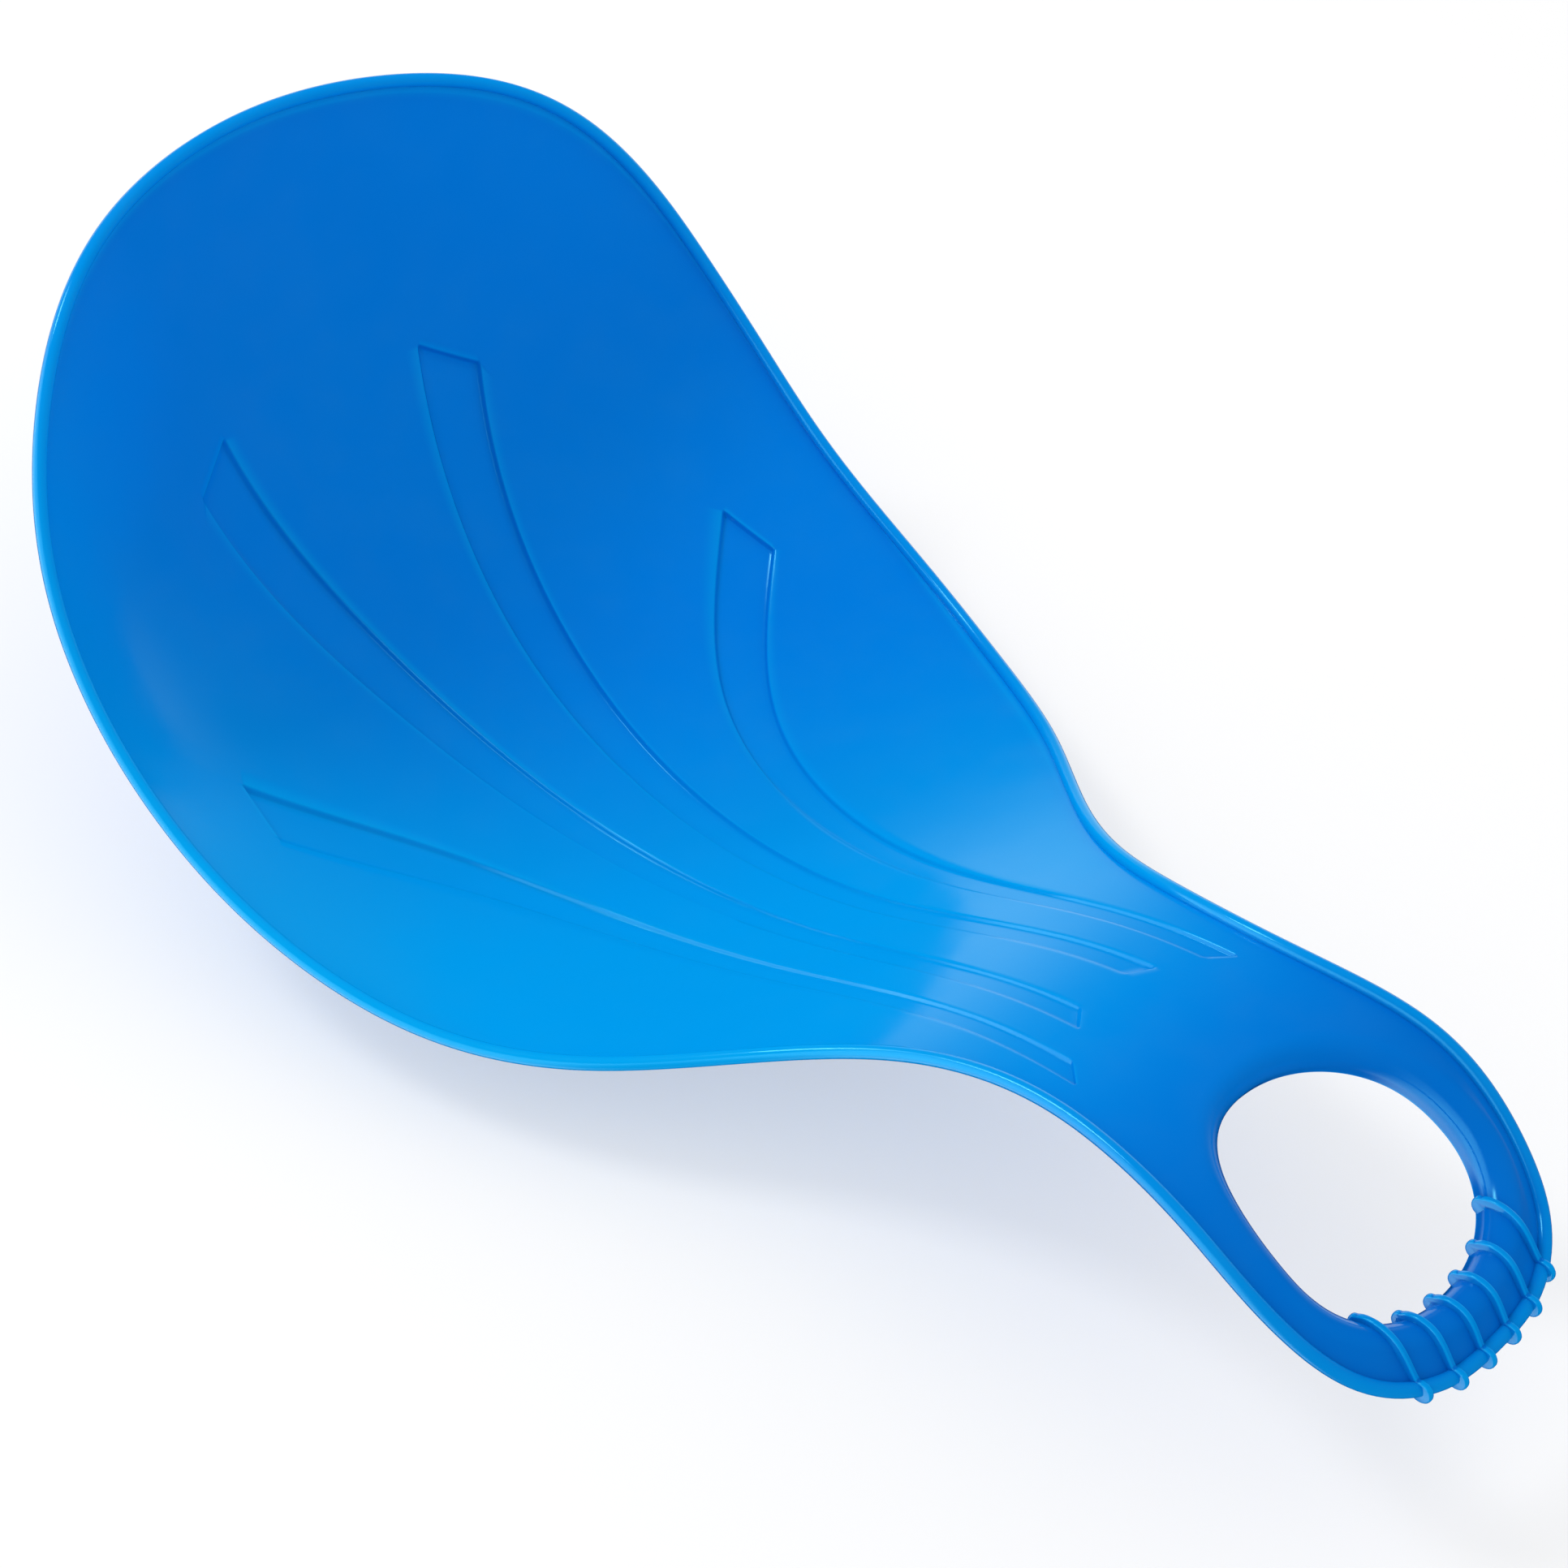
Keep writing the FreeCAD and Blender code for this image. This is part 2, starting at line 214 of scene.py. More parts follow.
@dataclass(frozen=True)
class MouldForm:
    """The sled's sheet in its mould: heights, outline and hand loop, in millimetres and degrees.

    The seat is dished, so that its heights differ along the keel, mid and wing lines. From the neck on the
    sheet is level across, and the three lines have the same heights.
    """

    stations: tuple = (-320, -260, -200, -120, -30, 50, 110, 170, 205, 250, 290)
    keel: tuple = (148, 51, 13, 0, 23, 83)
    mid: tuple = (172.6, 80.7, 25, 10.6, 33, 90.2)
    wing: tuple = (204, 137.3, 74.6, 43.1, 55.3, 95.4)
    neck_on: tuple = (150.3, 190, 201.8, 200.2, 197.8)
    mid_line: float = 80.0
    wing_line: float = 160.0
    half_rim: tuple = ((-311, 0), (-282.8, 97.3), (-226.9, 148), (-124.3, 164.2), (-25.2, 151.1),
                       (34.2, 121.5), (100.6, 63.4), (146.1, 53.8))
    loop_pins: tuple = (100, 75, 50, 25, 0)
    loop_centre: float = 231.6
    loop: Egg = Egg(68.0, 57.2, 60.9, 2.64, 0.103)
    hole: Egg = Egg(48.5, 36.7, 43.3, 2.2, 0.0)
    roll_radius: float = 7.5
    roll_rise_neck: float = -0.5
    roll_rise_grip: float = 6.0
    lip_drop: float = 10.8
    wall: float = 2.25
    bead_raise: float = 0.8
    rest_tilt: float = 19.9
    rest_shift: tuple = (-46.669, -0.004, -26.018)
    slope_reach: float = 0.5
    rim_search: int = 8000
    lines: list = field(init=False)
    rim: SmoothLine = field(init=False)

    def __post_init__(self) -> None:
        """Fit the long lines and the rim."""
        runs = [(*seat, *self.neck_on) for seat in (self.keel, self.mid, self.wing)]
        lines = [SmoothLine([[z] for z in run], marks=self.stations) for run in runs]
        object.__setattr__(self, "lines", lines)
        right = [(x, -y) for x, y in reversed(self.half_rim[1:])]
        turns = self.loop_pins + tuple(-turn for turn in reversed(self.loop_pins[:-1]))
        angles = np.radians(turns)
        loop = self.loop_plan(angles, self.loop.radius(angles))
        object.__setattr__(self, "rim", SmoothLine([*right, *self.half_rim, *loop], Ends.CLOSED))

    def height(self, x: Array, y: Array) -> Array:
        """Height of the upper face, an even curve across through the keel, mid and wing lines.

        Args:
            x: Places along the sled.
            y: Places across it.

        Returns:
            One height per place.
        """
        keel, mid, wing = (line.at(x)[:, 0] for line in self.lines)
        across, near, far = np.square(y), self.mid_line ** 2, self.wing_line ** 2
        return (keel * (across - near) * (across - far) / (near * far)
                + mid * across * (across - far) / (near * (near - far))
                + wing * across * (across - near) / (far * (far - near)))

    def normals(self, x: Array, y: Array) -> Array:
        """Upward unit normals of the upper face.

        Args:
            x: Places along the sled.
            y: Places across it.

        Returns:
            One normal per place.
        """
        reach = self.slope_reach
        fall_x = self.height(x - reach, y) - self.height(x + reach, y)
        fall_y = self.height(x, y - reach) - self.height(x, y + reach)
        ways = np.stack([fall_x, fall_y, np.full_like(fall_x, 2 * reach)], axis=1)
        return ways / np.linalg.norm(ways, axis=1)[:, None]

    def loop_plan(self, angles: Array, radii: Array) -> Array:
        """Plan points at angles and distances from the loop's centre."""
        return np.stack([self.loop_centre + radii * np.cos(angles), radii * np.sin(angles)], axis=1)

    def roll_section(self, angle: float) -> tuple:
        """Section of the loop at one angle.

        Args:
            angle: Angle from the loop's end.

        Returns:
            The rim point, the roll's centre, the lean at which the web meets the roll, and the lip's
            height; the points are a distance from the loop's centre and a height.
        """
        turn = np.array([angle])
        crest = self.hole.radius(turn)[0] + self.roll_radius
        rim = self.loop.radius(turn)
        share = (1 + math.cos(angle)) / 2
        rise = self.roll_rise_neck + (self.roll_rise_grip - self.roll_rise_neck) * share
        top = self.height(*self.loop_plan(turn, crest).T)[0] + rise
        start = (rim[0], self.height(*self.loop_plan(turn, rim).T)[0])
        centre = (crest, top - self.roll_radius)
        away, up = start[0] - centre[0], start[1] - centre[1]
        lean = math.atan2(up, away) + math.acos(self.roll_radius / math.hypot(away, up))
        return start, centre, lean, top - self.lip_drop

    def roll_spot(self, centre: tuple, lean: float) -> tuple:
        """Point of the roll's section at one lean, a distance from the loop's centre and a height."""
        return centre[0] + self.roll_radius * math.cos(lean), centre[1] + self.roll_radius * math.sin(lean)

    def rim_mark(self, x: float, y: float) -> float:
        """Measure along the rim at the rim's nearest point to a plan place."""
        marks = np.linspace(0, self.rim.marks[-1], self.rim_search)
        return float(marks[np.argmin(np.linalg.norm(self.rim.at(marks) - (x, y), axis=1))])

    def rim_inset(self, marks: Array, inset: float) -> Array:
        """Plan points a little inside the rim.

        Args:
            marks: Measures along the rim.
            inset: How far inside.

        Returns:
            One plan point per mark.
        """
        ways = self.rim.heading(marks)
        return self.rim.at(marks) + np.stack([ways[:, 1], -ways[:, 0]], axis=1) * inset

    def tilt(self) -> Array:
        """The turn from the mould's frame to how the sled lies, as rows of a matrix."""
        return np.array(Matrix.Rotation(math.radians(self.rest_tilt), 3, "Y"))

    def lay_down(self, points: Array) -> Array:
        """Turn points from the mould's frame to how the sled lies.

        Args:
            points: Points in millimetres.

        Returns:
            The same points in the frame that the CAD nodes lie in, in metres.
        """
        return (points @ self.tilt().T + np.array(self.rest_shift)) * MM

    def lay_table(self, table: Array) -> Array:
        """Turn a table of points, by row and column, to how the sled lies."""
        return self.lay_down(table.reshape(-1, 3)).reshape(table.shape)

    def lay_way(self, way: tuple) -> Vector:
        """Turn a direction from the mould's frame to how the sled lies."""
        return Vector(self.tilt() @ np.array(way))


class Bench:
    """Hand tools for shaping a piece: fresh primitives, vertex places and edit-mode steps."""

    @staticmethod
    def clear() -> None:
        """Leave edit mode and deselect everything."""
        if bpy.context.object and bpy.context.object.mode != "OBJECT":
            bpy.ops.object.mode_set(mode="OBJECT")
        bpy.ops.object.select_all(action="DESELECT")

    @staticmethod
    def take(piece: Piece, *others: Piece) -> None:
        """Select pieces, and nothing else.

        Args:
            piece: The piece that becomes the active one.
            others: Pieces that are selected with it.
        """
        Bench.clear()
        for part in (piece, *others):
            part.select_set(True)
        bpy.context.view_layer.objects.active = piece

    @staticmethod
    def named(name: str) -> Piece:
        """Name the new primitive and its mesh.

        Args:
            name: The piece's name.

        Returns:
            The primitive's object.
        """
        piece = bpy.context.object
        piece.name = name
        piece.data.name = name
        return piece

    @staticmethod
    def grid(name: str, table: Array, press: Array | None = None) -> Piece:
        """Drape a grid primitive over a table of places.

        Args:
            name: The piece's name.
            table: Places by row and column, in metres.
            press: Later moves by row and column, kept on the vertices; none where it is left out.

        Returns:
            The grid's object.
        """
        rows, columns = table.shape[0] - 1, table.shape[1] - 1
        Bench.clear()
        bpy.ops.mesh.primitive_grid_add(x_subdivisions=rows, y_subdivisions=columns, size=1.0)
        piece = Bench.named(name)
        flat = Bench.places(piece)
        row = np.rint((flat[:, 0] + 0.5) * rows).astype(int)
        column = np.rint((flat[:, 1] + 0.5) * columns).astype(int)
        Bench.put(piece, table[row, column])
        if press is not None:
            layer = piece.data.attributes.new(PRESS, "FLOAT_VECTOR", "POINT")
            layer.data.foreach_set("vector", press[row, column].ravel())
        return piece

    @staticmethod
    def places(piece: Piece) -> Array:
        """Read where a piece's vertices are.

        Args:
            piece: The piece.

        Returns:
            One row per vertex.
        """
        flat = np.empty(len(piece.data.vertices) * 3)
        piece.data.vertices.foreach_get("co", flat)
        return flat.reshape(-1, 3)

    @staticmethod
    def put(piece: Piece, places: Array) -> None:
        """Set a piece's vertex places."""
        piece.data.vertices.foreach_set("co", np.ascontiguousarray(places).ravel())
        piece.data.update()

    @staticmethod
    def edit(piece: Piece, *steps: tuple) -> None:
        """Run edit-mode operators on all of a piece.

        Args:
            piece: The piece to edit.
            steps: Pairs of an operator of bpy.ops.mesh and its settings.
        """
        Bench.take(piece)
        bpy.ops.object.mode_set(mode="EDIT")
        bpy.ops.mesh.select_all(action="SELECT")
        for operator, settings in steps:
            operator(**settings)
        bpy.ops.object.mode_set(mode="OBJECT")

    @staticmethod
    def weld(piece: Piece) -> None:
        """Merge a piece's double vertices and turn its faces the same way."""
        Bench.edit(piece, (bpy.ops.mesh.remove_doubles, {"threshold": MERGE_REACH}),
                   (bpy.ops.mesh.normals_make_consistent, {"inside": False}))

    @staticmethod
    def join(piece: Piece, *others: Piece) -> None:
        """Join other pieces into the first."""
        Bench.take(piece, *others)
        bpy.ops.object.join()

    @staticmethod
    def finish(piece: Piece, kind: Finishing, **settings: object) -> None:
        """Add a modifier to a piece and apply it.

        Args:
            piece: The piece.
            kind: The modifier.
            settings: The modifier's values.
        """
        Bench.take(piece)
        modifier = piece.modifiers.new(kind.name.lower(), kind.value)
        for key, value in settings.items():
            setattr(modifier, key, value)
        bpy.ops.object.modifier_apply(modifier=modifier.name)

    @staticmethod
    def smooth(piece: Piece, angle: float) -> None:
        """Shade a piece smooth up to an angle in degrees."""
        Bench.take(piece)
        bpy.ops.object.shade_smooth_by_angle(angle=math.radians(angle))


@dataclass(frozen=True)
class Grain:
    """A noise pattern, by its scale to the metre and its layers of detail."""

    scale: float
    detail: float


@dataclass(frozen=True)
class Relief(Grain):
    """A noise pattern that raises a surface, by its depth in metres and its strength."""

    depth: float
    strength: float


class NodeBoard:
    """A node tree, with short calls for the nodes that the finishes and the sky are made of."""

    def __init__(self, tree: bpy.types.NodeTree) -> None:
        """Take up the node tree of a material or a world."""
        self.nodes = tree.nodes
        self.links = tree.links

    def feed(self, node: bpy.types.Node, inputs: dict) -> None:
        """Give a node's sockets their values.

        Args:
            node: The node.
            inputs: By a socket's name or number, the socket that it is linked to, a number, a colour or a
                direction.
        """
        for key, source in inputs.items():
            socket = node.inputs[key]
            if isinstance(source, Socket):
                self.links.new(source, socket)
            elif socket.type == "RGBA":
                socket.default_value = (*source, 1.0)
            else:
                socket.default_value = source

    def add(self, kind: str, inputs: dict, **options: str) -> bpy.types.Node:
        """Add a node.

        Args:
            kind: The node's type, without the words that all types start with.
            inputs: The values of its sockets, as for feed.
            options: The node's own options.

        Returns:
            The node.
        """
        node = self.nodes.new(f"ShaderNode{kind}")
        for key, value in options.items():
            setattr(node, key, value)
        self.feed(node, inputs)
        return node

    def noise(self, grain: Grain, place: Socket) -> Socket:
        """Add a noise pattern on given coordinates."""
        inputs = {"Vector": place, "Scale": grain.scale, "Detail": grain.detail}
        return self.add("TexNoise", inputs).outputs["Fac"]

    def change(self, source: Socket, span: tuple, levels: tuple, kind: Change = Change.SMOOTH) -> Socket:
        """Go from one level to another over a span of a source.

        Args:
            source: The value that is followed.
            span: The source's values at the start and the end.
            levels: The levels there.
            kind: Whether it goes evenly or smoothly.

        Returns:
            The level.
        """
        inputs = {"Value": source, "From Min": span[0], "From Max": span[1],
                  "To Min": levels[0], "To Max": levels[1]}
        return self.add("MapRange", inputs, interpolation_type=kind.value).outputs["Result"]

    def total(self, kind: Sum, one: Socket, two: Socket | float) -> Socket:
        """Multiply or add two levels."""
        return self.add("Math", {0: one, 1: two}, operation=kind.value).outputs["Value"]

    def blend(self, share: Socket, one: Socket | tuple, two: Socket | tuple) -> Socket:
        """Blend two colours, by the share of the second."""
        inputs = {"Factor": share, "A": one, "B": two}
        return self.add("Mix", inputs, data_type="RGBA").outputs["Result"]

    def pick(self, share: Socket, one: Socket, two: Socket) -> Socket:
        """Blend two shaders, by the share of the second."""
        return self.add("MixShader", {0: share, 1: one, 2: two}).outputs["Shader"]


@dataclass(frozen=True)
class BluePlastic:
    """Glossy moulded plastic in a strong blue.

    The blue has a faint cloud in it. Painted light makes it paler at the front of the seat, painted shade
    makes it deeper over the hand loop and painted highlights make it pale on sharp edges. Its gloss is
    uneven, and its face has slow waves under a fine orange peel. The spans over which the painted light and
    shade come in are in metres along the sled.
    """

    name: str = "blue_plastic_gloss"
    colour: tuple = (0.0, 0.205, 0.740)
    cloud_colour: tuple = (0.0, 0.218, 0.765)
    # Painted light: the blue gets paler towards the front of the seat and its near side, standing in for the
    # light there.
    painted_light_colour: tuple = (0.0, 0.355, 0.850)
    painted_light_way: tuple = (1.0, -0.75, 0.0)
    painted_light_start: tuple = (-0.21, 0.04)
    painted_light_end: tuple = (0.06, 0.19)
    painted_light_left: float = 0.1
    # Painted shade: the blue gets deeper over the hand loop, standing in for the shade there.
    painted_shade_colour: tuple = (0.0, 0.150, 0.600)
    painted_shade_start: tuple = (0.13, 0.23)
    # Painted highlight: the blue gets paler on sharp convex edges, found by the surface's pointiness.
    painted_highlight_colour: tuple = (0.0, 0.400, 0.900)
    painted_highlight_bend: tuple = (0.508, 0.540)
    painted_highlight_share: float = 0.45
    refraction: float = 1.5
    gloss_level: float = 0.5
    sheen: tuple = (0.2, 0.95, 1.0)
    roughness: tuple = (0.11, 0.20)
    rub_span: tuple = (0.35, 0.75)
    cloud: Grain = Grain(9.0, 3.0)
    rubs: Grain = Grain(55.0, 6.0)
    waves: Relief = Relief(30.0, 1.0, 0.0006, 0.35)
    peel: Relief = Relief(900.0, 2.0, 0.00002, 0.5)

    def build(self) -> bpy.types.Material:
        """Make the material.

        Returns:
            The node-based material.
        """
        material = bpy.data.materials.new(self.name)
        material.use_nodes = True
        board = NodeBoard(material.node_tree)
        board.nodes.clear()
        place = board.add("TexCoord", {}).outputs["Object"]
        gloss = board.change(board.noise(self.rubs, place), self.rub_span, self.roughness, Change.EVEN)
        shader = board.add("BsdfPrincipled", {"IOR": self.refraction, "Specular IOR Level": self.gloss_level,
                                              "Specular Tint": self.sheen, "Roughness": gloss,
                                              "Base Color": self.blue(board, place),
                                              "Normal": self.bump(board, place)})
        board.add("OutputMaterial", {"Surface": shader.outputs["BSDF"]})
        return material

    def blue(self, board: NodeBoard, place: Socket) -> Socket:
        """Mix the plastic's colour.

        Args:
            board: The material's nodes.
            place: The piece's own coordinates.

        Returns:
            The colour.
        """
        slant = board.add("VectorMath", {0: place, 1: self.painted_light_way}, operation="DOT_PRODUCT")
        length = board.add("SeparateXYZ", {"Vector": place}).outputs[Axis.LENGTH.value]
        bend = board.add("NewGeometry", {}).outputs["Pointiness"]
        # Painted light: a paler blue at the front and near side of the seat.
        pale = board.total(Sum.TIMES, board.change(slant.outputs["Value"], self.painted_light_start, (0.0, 1.0)),
                           board.change(length, self.painted_light_end, (1.0, self.painted_light_left)))
        # Painted shade: a deeper blue over the hand loop.
        deep = board.change(length, self.painted_shade_start, (0.0, 1.0))
        # Painted highlight: a paler blue on sharp convex edges, by pointiness.
        painted_highlight = board.change(bend, self.painted_highlight_bend, (0.0, self.painted_highlight_share))
        colour = board.blend(board.noise(self.cloud, place), self.colour, self.cloud_colour)
        layers = ((pale, self.painted_light_colour), (deep, self.painted_shade_colour), (painted_highlight, self.painted_highlight_colour))
        for share, layer in layers:
            colour = board.blend(share, colour, layer)
        return colour

    def bump(self, board: NodeBoard, place: Socket) -> Socket:
        """Raise the waves of the sheet and the orange peel on them.

        Args:
            board: The material's nodes.
            place: The piece's own coordinates.

        Returns:
            The normal.
        """
        under = {}
        for relief in (self.waves, self.peel):
            inputs = {"Height": board.noise(relief, place), "Distance": relief.depth,
                      "Strength": relief.strength}
            under = {"Normal": board.add("Bump", inputs | under).outputs["Normal"]}
        return under["Normal"]


@dataclass
class Moulding:
    """The one sheet of the sled: dished seat with fan channels, neck and rolled hand loop, in millimetres.

    The mesh of the seat follows guides that fan out from the neck to the rim: the centre and the channels'
    edges. Marks along a guide go from 0 at the neck line to 1 at the rim.
    """

    form: MouldForm
    channel_depth: float = 2.5
    slope_half: float = 0.9
    top_span: tuple = (-160.0, 40.0)
    top_share: tuple = (0.95, 0.5)
    edge_inset: float = 0.8
    neck_line: float = 156.0
    neck_half: float = 55.0
    front_mark: float = 0.05
    back_mark: float = 0.85
    guide_length: float = 450.0
    centre_guide: tuple = ((126, 0), (-60, 0), (-251, 0))
    edge_guides: tuple = (((128.2, 11.4), (50, 9), (-48, 13.1), (-152.5, 26.4), (-241, 47.2)),
                          ((133, 19.6), (57, 17), (-36.6, 25), (-138, 43.1), (-225.5, 67.4)),
                          ((140.8, 33.9), (80, 32.3), (12, 39.5), (-64.5, 67.7), (-127.1, 121)),
                          ((147.1, 41.2), (90, 39.5), (28, 46.3), (-43, 73), (-101.7, 124.7)))
    rim_ends: tuple = ((-302, 62), (-290, 88), (-174, 161), (-143, 164), (-118, 164))
    neck_sides: tuple = (0.0, 0.22, 0.37, 0.64, 0.77)
    zone_cells: tuple = (8, 8, 14, 8, 18)
    length_cells: tuple = (10, 150, 28)
    slope_steps: tuple = (-1.0, -0.6, -0.2, 0.2, 0.6, 1.0)
    loop_rays: int = 170
    web_rows: int = 16
    roll_rows: int = 16
    lip_rows: int = 6
    lead_start: float = 0.2
    lead_span: float = 0.5
    smooth_angle: float = 40.0

    def build(self) -> Piece:
        """Build the sheet, give it its wall and press the channels.

        Returns:
            The moulding's object.
        """
        plan, depths = self.seat_plan()
        seat = self.seat_sheet(plan, depths)
        Bench.join(seat, self.loop_sheet(plan[0]))
        Bench.weld(seat)
        if np.mean([face.normal.z for face in seat.data.polygons]) < 0:
            Bench.edit(seat, (bpy.ops.mesh.flip_normals, {}))
        top_count = len(seat.data.vertices)
        Bench.finish(seat, Finishing.WALL, thickness=self.form.wall * MM, offset=-1.0, use_even_offset=True,
                     use_quality_normals=True)
        self.press_channels(seat, top_count)
        Bench.smooth(seat, self.smooth_angle)
        return seat

    def end_marks(self) -> list:
        """Measures along the rim where the guides and the seat's edge end, from the back's centre on."""
        return [self.form.rim_mark(*end) for end in (self.form.half_rim[0], *self.rim_ends)]

    def guides(self) -> list:
        """Lines that the seat's mesh follows, from the neck to the back: the centre and the channel edges.

        Returns:
            The lines, measured 0 at the neck line and 1 at the rim.
        """
        neck = self.form.rim_mark(self.neck_line, self.neck_half)
        half_neck = self.form.rim_inset([neck], self.edge_inset)[0, 1]
        lines = []
        for side, pins, end in zip(self.neck_sides, (self.centre_guide, *self.edge_guides), self.end_marks()):
            rim = self.form.rim_inset([end], self.edge_inset)[0]
            runs = np.cumsum([0.0] + [math.dist(a, b) for a, b in zip(pins, pins[1:])])
            marks = self.front_mark + (self.back_mark - self.front_mark) * runs / runs[-1]
            spots = [(self.neck_line, side * half_neck), *pins, tuple(rim)]
            lines.append(SmoothLine(spots, marks=[0.0, *marks, 1.0]))
        return lines

    def length_marks(self) -> tuple:
        """Measures of the mesh's cross lines, close together at the channels' ends.

        Returns:
            The measures, and how far each is inside the channels' length, from 0 to 1.
        """
        slope = self.slope_half / self.guide_length
        steps = np.array(self.slope_steps) * slope
        front, back = self.front_mark + steps, self.back_mark + steps
        runs = [np.linspace(0, front[0], self.length_cells[0] + 1)[:-1], front,
                np.linspace(front[-1], back[0], self.length_cells[1] + 1)[1:-1], back,
                np.linspace(back[-1], 1, self.length_cells[2] + 1)[1:]]
        marks = np.concatenate(runs)
        into = ease((marks - front[0]) / (2 * slope)) * ease((back[-1] - marks) / (2 * slope))
        return marks, into

    def seat_plan(self) -> tuple:
        """Lay the left half of the seat's mesh out in plan, zone by zone, and mirror it.

        Returns:
            Plan points by cross line and place across, and the channel depth at each.
        """
        marks, into = self.length_marks()
        lines = [line.at(marks) for line in self.guides()]
        neck = self.form.rim_mark(self.neck_line, self.neck_half)
        ends = self.end_marks()
        lines.append(self.form.rim_inset(neck + (ends[-1] - neck) * marks, self.edge_inset))
        drift = ease((marks - self.back_mark) / (1 - self.back_mark)) ** 2
        columns, sunk = [lines[0]], [0.0]
        for zone in range(len(self.zone_cells)):
            near, far = lines[zone], lines[zone + 1]
            for share, sink in self.zone_rows(np.linalg.norm(far - near, axis=1), zone):
                chord = near + (far - near) * share[:, None]
                mark = ends[zone] + (ends[zone + 1] - ends[zone]) * share[-1:]
                bend = self.form.rim_inset(mark, self.edge_inset)[0] - chord[-1]
                columns.append(chord + drift[:, None] * bend)
                sunk.append(sink)
        left = np.stack(columns, axis=1)
        right = left[:, :0:-1] * (1, -1)
        both = np.array(sunk[:0:-1] + sunk)
        return np.concatenate([right, left], axis=1), into[:, None] * both[None, :] * self.channel_depth

    def zone_rows(self, width: Array, zone: int) -> list:
        """Rows of the mesh across one zone between two lines, with close rows on a channel's sloped edge.

        Args:
            width: The zone's width at each cross line.
            zone: The zone's number from the centre; the odd ones are channels.

        Returns:
            Pairs of the row's share of the width at each cross line and how far it is sunk, from 0 to 1.
        """
        half, cells = self.slope_half, self.zone_cells[zone]
        channel = zone % 2 == 1
        steps = [step for step in self.slope_steps if step > 0]
        near_edge, far_edge = zone > 0, zone < len(self.zone_cells) - 1
        low = half if near_edge else 0.0
        high = half if far_edge else 0.0
        rows = []
        if near_edge:
            rows += [(step * half / width, self.sunk_share(step, channel)) for step in steps]
        for i in range(1, cells + (0 if far_edge else 1)):
            rows.append(((low + (width - low - high) * i / cells) / width, 1.0 if channel else 0.0))
        if far_edge:
            rows += [(1 - step * half / width, self.sunk_share(step, channel)) for step in reversed(steps)]
        return rows

    @staticmethod
    def sunk_share(step: float, channel: bool) -> float:
        """How far a row on a sloped edge is sunk, a step inside or outside the channel's line."""
        return float(ease((1 + (step if channel else -step)) / 2))

    def seat_sheet(self, plan: Array, depths: Array) -> Piece:
        """Drape the seat's upper face, with the depth of its channels kept on its vertices.

        Args:
            plan: Plan points by cross line and place across.
            depths: Channel depth at each point.

        Returns:
            The open sheet's object.
        """
        flat = plan.reshape(-1, 2)
        heights = self.form.height(flat[:, 0], flat[:, 1])
        table = self.form.lay_down(np.column_stack([flat, heights])).reshape(*plan.shape[:2], 3)
        ways = self.form.normals(flat[:, 0], flat[:, 1]) @ self.form.tilt().T
        press = (ways * depths.reshape(-1, 1) * -MM).reshape(table.shape)
        return Bench.grid("sled_moulding", table, press)

    def loop_sheet(self, neck: Array) -> Piece:
        """Drape the loop's face along rays from the hole's centre, out to the neck line and the rim.

        Args:
            neck: Plan points of the seat's front edge.

        Returns:
            The open sheet's object, closed round the hole.
        """
        form = self.form
        first, last = (form.rim_mark(self.neck_line, side) for side in (self.neck_half, -self.neck_half))
        marks = np.linspace(first, last, self.loop_rays + 1)[1:-1]
        outer = np.concatenate([neck, form.rim_inset(marks, self.edge_inset), neck[:1]])
        return Bench.grid("loop_sheet", form.lay_table(np.array([self.loop_ray(spot) for spot in outer])))

    def loop_ray(self, spot: Array) -> Array:
        """Points along one ray: over the web, round the roll and down to the lip.

        Args:
            spot: The ray's outer end in plan.

        Returns:
            The points, in the mould's frame.
        """
        form = self.form
        away = spot - (form.loop_centre, 0.0)
        angle, reach = math.atan2(away[1], away[0]), math.hypot(*away)
        start, centre, lean, lip = form.roll_section(angle)
        foot = form.roll_spot(centre, lean)
        radii = np.linspace(reach, foot[0], self.web_rows + 1)
        sheet = form.height(*form.loop_plan(np.full_like(radii, angle), radii).T)
        web = np.where(radii > start[0], sheet, self.web_heights(radii, angle, start, foot))
        leans = np.linspace(lean, math.pi, self.roll_rows + 1)[1:]
        roll = [form.roll_spot(centre, turn) for turn in leans]
        drop = [(roll[-1][0], z) for z in np.linspace(centre[1], lip, self.lip_rows + 1)[1:]]
        section = np.array([*zip(radii, web), *roll, *drop])
        plan = form.loop_plan(np.full(len(section), angle), section[:, 0])
        return np.column_stack([plan, section[:, 1]])

    def web_heights(self, radii: Array, angle: float, start: tuple, foot: tuple) -> Array:
        """Heights of the web along a ray: straight from the rim to the roll, led in level with the neck.

        Args:
            radii: Distances from the loop's centre.
            angle: The ray's angle from the loop's end.
            start: The web's outer end, a distance and a height.
            foot: Where it meets the roll, a distance and a height.

        Returns:
            One height per distance.
        """
        run = foot[0] - start[0]
        slope = (foot[1] - start[1]) / run
        reach = self.form.slope_reach
        near = self.form.loop_plan(np.full(2, angle), np.array([start[0] + reach, start[0] - reach]))
        sheet_slope = -np.diff(self.form.height(*near.T))[0] / (2 * reach)
        lead = slope + (sheet_slope - slope) * ease((-math.cos(angle) - self.lead_start) / self.lead_span)
        share = (radii - start[0]) / run
        return start[1] + run * (slope * share + (lead - slope) * share * (1 - share) ** 2)

